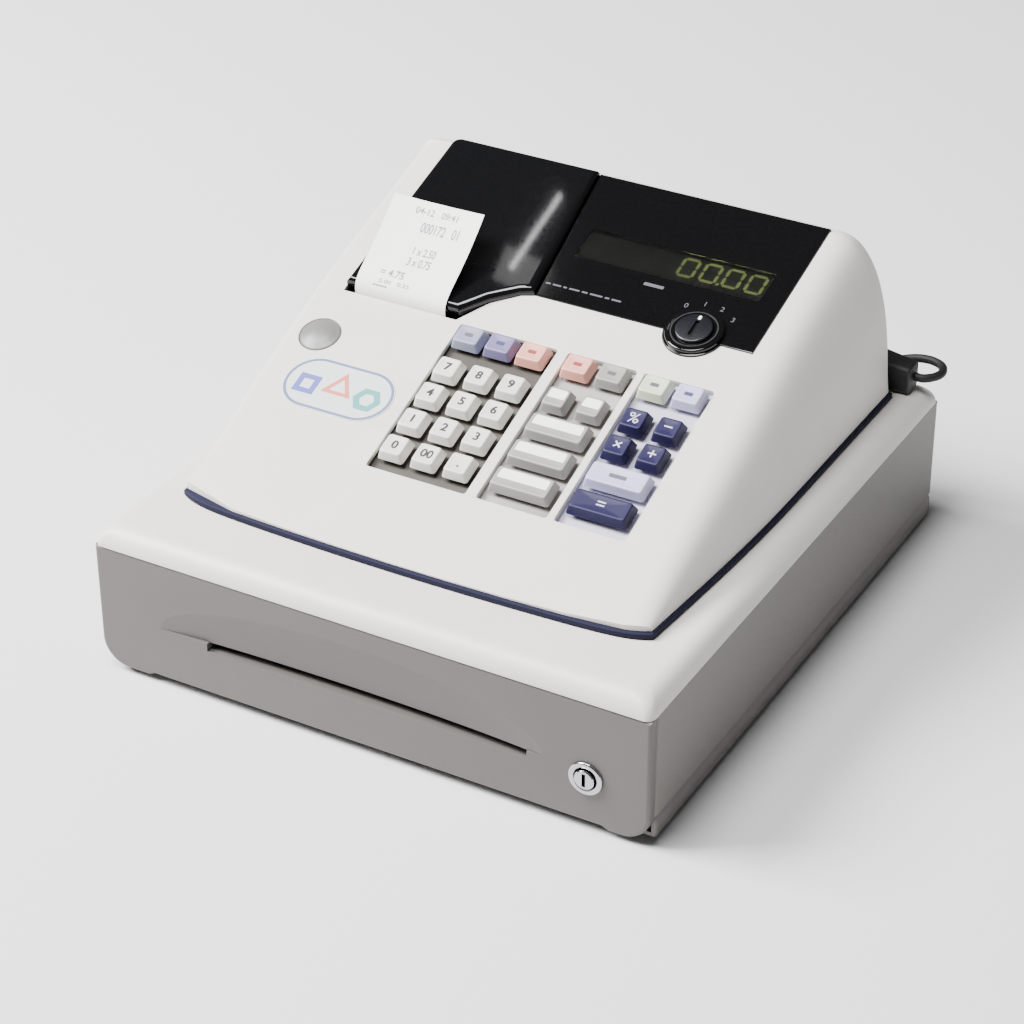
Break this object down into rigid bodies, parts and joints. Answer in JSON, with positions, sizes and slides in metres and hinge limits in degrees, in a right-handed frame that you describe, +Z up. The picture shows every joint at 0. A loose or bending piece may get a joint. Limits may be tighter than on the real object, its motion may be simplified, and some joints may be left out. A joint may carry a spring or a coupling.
{
  "type": "ticket register",
  "caption": "Compact electronic cash register: sloping keyboard, black display and receipt printer on a grey cash drawer cabinet.",
  "frame": {"origin": "bottom centre of the cabinet, on the plane it stands on", "axes": "+X to the right of the person at the keys, +Y to the rear, +Z up"},
  "size_m": [0.3343, 0.4694, 0.1931],
  "materials": {
    "cream_plastic": "fine satin grain",
    "grey_plastic": "fine satin grain",
    "base_grey": "fine satin grain",
    "dark_grey_steel": "satin",
    "blue_trim": "satin",
    "black_gloss": "high gloss",
    "black_plastic": "satin",
    "chrome": "polished",
    "galvanised_steel": "galvanised",
    "rubber": "matt",
    "thermal_paper": "smooth",
    "deck_grey": "satin",
    "display_board": "semi gloss",
    "key_white": "satin",
    "key_grey": "satin",
    "key_dark_blue": "satin",
    "key_lavender": "satin",
    "key_mauve": "satin",
    "key_coral": "satin",
    "key_pale_green": "satin"
  },
  "bodies": {
    "cabinet": {"base_pan": "base_grey", "base_top_cover": "cream_plastic", "foot_1": "rubber", "foot_2": "rubber", "foot_3": "rubber", "foot_4": "rubber", "upper_case": "cream_plastic", "trim_line": "blue_trim", "key_deck": "deck_grey", "display_panel": "black_gloss", "display_board": "display_board", "printer_frame": "dark_grey_steel", "cord_gland": "rubber", "power_cord": "rubber", "cord_hank": "rubber", "plug": "rubber"},
    "drawer": {"drawer_tray": "galvanised_steel", "drawer_front": "grey_plastic", "till_insert": "black_plastic", "lock_bezel": "chrome"},
    "lock": {"lock_barrel": "chrome"},
    "clip_1": {"bill_clip_1": "black_plastic"},
    "clip_2": {"bill_clip_2": "black_plastic"},
    "clip_3": {"bill_clip_3": "black_plastic"},
    "mode_switch": {"mode_rotor": "black_plastic"},
    "cover": {"printer_cover": "black_gloss", "receipt": "thermal_paper"},
    "roll": {"paper_roll": "thermal_paper"},
    "platen": {"platen_roller": "rubber"},
    "key_zero": {"key_zero": "key_white"},
    "key_double_zero": {"key_double_zero": "key_white"},
    "key_point": {"key_point": "key_white"},
    "key_one": {"key_one": "key_white"},
    "key_two": {"key_two": "key_white"},
    "key_three": {"key_three": "key_white"},
    "key_four": {"key_four": "key_white"},
    "key_five": {"key_five": "key_white"},
    "key_six": {"key_six": "key_white"},
    "key_seven": {"key_seven": "key_white"},
    "key_eight": {"key_eight": "key_white"},
    "key_nine": {"key_nine": "key_white"},
    "key_department_1": {"key_department_1": "key_white"},
    "key_department_2": {"key_department_2": "key_white"},
    "key_department_3": {"key_department_3": "key_white"},
    "key_department_4": {"key_department_4": "key_white"},
    "key_department_5": {"key_department_5": "key_white"},
    "key_cash_tender": {"key_cash_tender": "key_dark_blue"},
    "key_function_1": {"key_function_1": "key_dark_blue"},
    "key_function_2": {"key_function_2": "key_dark_blue"},
    "key_function_3": {"key_function_3": "key_dark_blue"},
    "key_function_4": {"key_function_4": "key_dark_blue"},
    "key_subtotal": {"key_subtotal": "key_lavender"},
    "key_top_1": {"key_top_1": "key_lavender"},
    "key_top_2": {"key_top_2": "key_mauve"},
    "key_top_3": {"key_top_3": "key_coral"},
    "key_top_4": {"key_top_4": "key_coral"},
    "key_top_5": {"key_top_5": "key_grey"},
    "key_top_6": {"key_top_6": "key_pale_green"},
    "key_top_7": {"key_top_7": "key_lavender"},
    "key_feed": {"key_feed": "key_grey"}
  },
  "joints": [
    {"name": "key_zero_press", "type": "slide", "parent": "cabinet", "child": "key_zero", "axis": [0, -0.342, 0.9397], "range_m": [-0.003, 0], "stiffness_N_per_m": 200, "springref_m": 0.002},
    {"name": "key_double_zero_press", "type": "slide", "parent": "cabinet", "child": "key_double_zero", "axis": [0, -0.342, 0.9397], "range_m": [-0.003, 0], "stiffness_N_per_m": 200, "springref_m": 0.002},
    {"name": "key_point_press", "type": "slide", "parent": "cabinet", "child": "key_point", "axis": [0, -0.342, 0.9397], "range_m": [-0.003, 0], "stiffness_N_per_m": 200, "springref_m": 0.002},
    {"name": "key_one_press", "type": "slide", "parent": "cabinet", "child": "key_one", "axis": [0, -0.342, 0.9397], "range_m": [-0.003, 0], "stiffness_N_per_m": 200, "springref_m": 0.002},
    {"name": "key_two_press", "type": "slide", "parent": "cabinet", "child": "key_two", "axis": [0, -0.342, 0.9397], "range_m": [-0.003, 0], "stiffness_N_per_m": 200, "springref_m": 0.002},
    {"name": "key_three_press", "type": "slide", "parent": "cabinet", "child": "key_three", "axis": [0, -0.342, 0.9397], "range_m": [-0.003, 0], "stiffness_N_per_m": 200, "springref_m": 0.002},
    {"name": "key_four_press", "type": "slide", "parent": "cabinet", "child": "key_four", "axis": [0, -0.342, 0.9397], "range_m": [-0.003, 0], "stiffness_N_per_m": 200, "springref_m": 0.002},
    {"name": "key_five_press", "type": "slide", "parent": "cabinet", "child": "key_five", "axis": [0, -0.342, 0.9397], "range_m": [-0.003, 0], "stiffness_N_per_m": 200, "springref_m": 0.002},
    {"name": "key_six_press", "type": "slide", "parent": "cabinet", "child": "key_six", "axis": [0, -0.342, 0.9397], "range_m": [-0.003, 0], "stiffness_N_per_m": 200, "springref_m": 0.002},
    {"name": "key_seven_press", "type": "slide", "parent": "cabinet", "child": "key_seven", "axis": [0, -0.342, 0.9397], "range_m": [-0.003, 0], "stiffness_N_per_m": 200, "springref_m": 0.002},
    {"name": "key_eight_press", "type": "slide", "parent": "cabinet", "child": "key_eight", "axis": [0, -0.342, 0.9397], "range_m": [-0.003, 0], "stiffness_N_per_m": 200, "springref_m": 0.002},
    {"name": "key_nine_press", "type": "slide", "parent": "cabinet", "child": "key_nine", "axis": [0, -0.342, 0.9397], "range_m": [-0.003, 0], "stiffness_N_per_m": 200, "springref_m": 0.002},
    {"name": "key_department_1_press", "type": "slide", "parent": "cabinet", "child": "key_department_1", "axis": [0, -0.342, 0.9397], "range_m": [-0.003, 0], "stiffness_N_per_m": 200, "springref_m": 0.002},
    {"name": "key_department_2_press", "type": "slide", "parent": "cabinet", "child": "key_department_2", "axis": [0, -0.342, 0.9397], "range_m": [-0.003, 0], "stiffness_N_per_m": 200, "springref_m": 0.002},
    {"name": "key_department_3_press", "type": "slide", "parent": "cabinet", "child": "key_department_3", "axis": [0, -0.342, 0.9397], "range_m": [-0.003, 0], "stiffness_N_per_m": 200, "springref_m": 0.002},
    {"name": "key_department_4_press", "type": "slide", "parent": "cabinet", "child": "key_department_4", "axis": [0, -0.342, 0.9397], "range_m": [-0.003, 0], "stiffness_N_per_m": 200, "springref_m": 0.002},
    {"name": "key_department_5_press", "type": "slide", "parent": "cabinet", "child": "key_department_5", "axis": [0, -0.342, 0.9397], "range_m": [-0.003, 0], "stiffness_N_per_m": 200, "springref_m": 0.002},
    {"name": "key_cash_tender_press", "type": "slide", "parent": "cabinet", "child": "key_cash_tender", "axis": [0, -0.342, 0.9397], "range_m": [-0.003, 0], "stiffness_N_per_m": 200, "springref_m": 0.002},
    {"name": "key_function_1_press", "type": "slide", "parent": "cabinet", "child": "key_function_1", "axis": [0, -0.342, 0.9397], "range_m": [-0.003, 0], "stiffness_N_per_m": 200, "springref_m": 0.002},
    {"name": "key_function_2_press", "type": "slide", "parent": "cabinet", "child": "key_function_2", "axis": [0, -0.342, 0.9397], "range_m": [-0.003, 0], "stiffness_N_per_m": 200, "springref_m": 0.002},
    {"name": "key_function_3_press", "type": "slide", "parent": "cabinet", "child": "key_function_3", "axis": [0, -0.342, 0.9397], "range_m": [-0.003, 0], "stiffness_N_per_m": 200, "springref_m": 0.002},
    {"name": "key_function_4_press", "type": "slide", "parent": "cabinet", "child": "key_function_4", "axis": [0, -0.342, 0.9397], "range_m": [-0.003, 0], "stiffness_N_per_m": 200, "springref_m": 0.002},
    {"name": "key_subtotal_press", "type": "slide", "parent": "cabinet", "child": "key_subtotal", "axis": [0, -0.342, 0.9397], "range_m": [-0.003, 0], "stiffness_N_per_m": 200, "springref_m": 0.002},
    {"name": "key_top_1_press", "type": "slide", "parent": "cabinet", "child": "key_top_1", "axis": [0, -0.342, 0.9397], "range_m": [-0.003, 0], "stiffness_N_per_m": 200, "springref_m": 0.002},
    {"name": "key_top_2_press", "type": "slide", "parent": "cabinet", "child": "key_top_2", "axis": [0, -0.342, 0.9397], "range_m": [-0.003, 0], "stiffness_N_per_m": 200, "springref_m": 0.002},
    {"name": "key_top_3_press", "type": "slide", "parent": "cabinet", "child": "key_top_3", "axis": [0, -0.342, 0.9397], "range_m": [-0.003, 0], "stiffness_N_per_m": 200, "springref_m": 0.002},
    {"name": "key_top_4_press", "type": "slide", "parent": "cabinet", "child": "key_top_4", "axis": [0, -0.342, 0.9397], "range_m": [-0.003, 0], "stiffness_N_per_m": 200, "springref_m": 0.002},
    {"name": "key_top_5_press", "type": "slide", "parent": "cabinet", "child": "key_top_5", "axis": [0, -0.342, 0.9397], "range_m": [-0.003, 0], "stiffness_N_per_m": 200, "springref_m": 0.002},
    {"name": "key_top_6_press", "type": "slide", "parent": "cabinet", "child": "key_top_6", "axis": [0, -0.342, 0.9397], "range_m": [-0.003, 0], "stiffness_N_per_m": 200, "springref_m": 0.002},
    {"name": "key_top_7_press", "type": "slide", "parent": "cabinet", "child": "key_top_7", "axis": [0, -0.342, 0.9397], "range_m": [-0.003, 0], "stiffness_N_per_m": 200, "springref_m": 0.002},
    {"name": "key_feed_press", "type": "slide", "parent": "cabinet", "child": "key_feed", "axis": [0, -0.342, 0.9397], "range_m": [-0.0018, 0], "stiffness_N_per_m": 300, "springref_m": 0.0015},
    {"name": "drawer_slide", "type": "slide", "parent": "cabinet", "child": "drawer", "axis": [0, -1, 0], "range_m": [0, 0.25]},
    {"name": "lock_turn", "type": "hinge", "parent": "drawer", "child": "lock", "pos_m": [0.1297, -0.179, 0.0323], "axis": [0, 1, 0], "range_deg": [0, 90]},
    {"name": "clip_1_lift", "type": "hinge", "parent": "drawer", "child": "clip_1", "pos_m": [-0.09773, 0.1454, 0.0535], "axis": [-1, 0, 0], "range_deg": [0, 30], "stiffness_Nm_per_rad": 0.02, "springref_deg": -28.65},
    {"name": "clip_2_lift", "type": "hinge", "parent": "drawer", "child": "clip_2", "pos_m": [0, 0.1454, 0.0535], "axis": [-1, 0, 0], "range_deg": [0, 30], "stiffness_Nm_per_rad": 0.02, "springref_deg": -28.65},
    {"name": "clip_3_lift", "type": "hinge", "parent": "drawer", "child": "clip_3", "pos_m": [0.09773, 0.1454, 0.0535], "axis": [-1, 0, 0], "range_deg": [0, 30], "stiffness_Nm_per_rad": 0.02, "springref_deg": -28.65},
    {"name": "mode_turn", "type": "hinge", "parent": "cabinet", "child": "mode_switch", "pos_m": [0.074, 0.045, 0.16042], "axis": [0, -0.3007, 0.9537], "range_deg": [-60, 60]},
    {"name": "cover_lift", "type": "hinge", "parent": "cabinet", "child": "cover", "pos_m": [0, 0.13453, 0.18917], "axis": [-1, 0, 0], "range_deg": [0, 75]},
    {"name": "roll_spin", "type": "hinge", "parent": "cabinet", "child": "roll", "pos_m": [-0.0925, 0.088, 0.131], "axis": [1, 0, 0], "continuous": true},
    {"name": "platen_spin", "type": "hinge", "parent": "cabinet", "child": "platen", "pos_m": [-0.0925, 0.027, 0.137], "axis": [1, 0, 0], "continuous": true}
  ],
  "couplings": [
    {"joint": "platen_spin", "follows": "roll_spin", "ratio": 4.6154}
  ]
}
